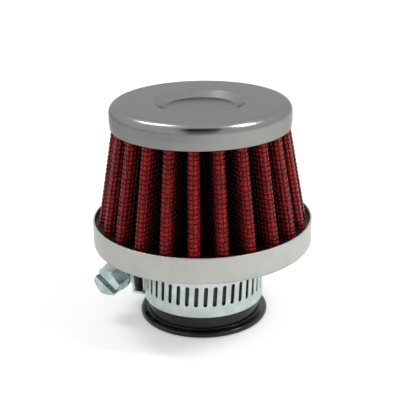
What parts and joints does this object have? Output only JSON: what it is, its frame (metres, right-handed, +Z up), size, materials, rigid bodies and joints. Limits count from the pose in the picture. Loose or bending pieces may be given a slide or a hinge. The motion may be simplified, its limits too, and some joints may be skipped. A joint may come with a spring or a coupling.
{
  "type": "air filter",
  "caption": "Clamp-on conical air filter: a pleated gauze cone between a pressed steel cap and base cup, on a rubber neck with a slotted worm-drive hose clamp.",
  "frame": {"origin": "centre of the rubber neck's mouth, on the plane of its lip", "axes": "+Z up the filter's axis from the neck to the cap; -Y is the side that is seen with the clamp screw's head to the left"},
  "size_m": [0.0596, 0.0592, 0.0604],
  "materials": {
    "cap_steel": "polished pressed steel, lightly brushed",
    "cup_steel": "satin pressed steel",
    "red_screen": "woven wire with a red coating",
    "red_gauze": "oiled cotton gauze",
    "inner_screen": "woven wire with a red coating",
    "clip_steel": "folded strip, satin",
    "potting": "cast black potting compound, satin",
    "neck_rubber": "moulded black rubber, semi-gloss",
    "clamp_zinc": "bright zinc-plated strip",
    "screw_zinc": "blue-white zinc plating"
  },
  "bodies": {
    "filter_body": {"top_cap": "cap_steel", "upper_potting": "potting", "outer_wire_screen": "red_screen", "gauze_layer_1": "red_gauze", "gauze_layer_2": "red_gauze", "gauze_layer_3": "red_gauze", "gauze_layer_4": "red_gauze", "inner_wire_screen": "inner_screen", "seam_clip": "clip_steel", "lower_potting": "potting", "base_cup": "cup_steel", "rubber_neck": "neck_rubber"},
    "clamp": {"clamp_band": "clamp_zinc", "clamp_saddle": "clamp_zinc", "clamp_housing": "clamp_zinc"},
    "strip_end": {"band_tail": "clamp_zinc"},
    "screw": {"clamp_screw": "screw_zinc"}
  },
  "joints": [
    {"name": "clamp_swivel", "type": "hinge", "parent": "filter_body", "child": "clamp", "pos_m": [0, 0, 0.0115], "axis": [0, 0, 1], "continuous": true},
    {"name": "screw_turn", "type": "hinge", "parent": "clamp", "child": "screw", "pos_m": [-0.01834, 0.00943, 0.0115], "axis": [0.4571, 0.8894, 0], "range_deg": [-720, 360]},
    {"name": "strip_travel", "type": "slide", "parent": "clamp", "child": "strip_end", "axis": [-0.4571, -0.8894, 0], "range_m": [-0.005, 0.0025]}
  ],
  "couplings": [
    {"joint": "screw_turn", "follows": "strip_travel", "rad_per_m": 2513.3}
  ]
}
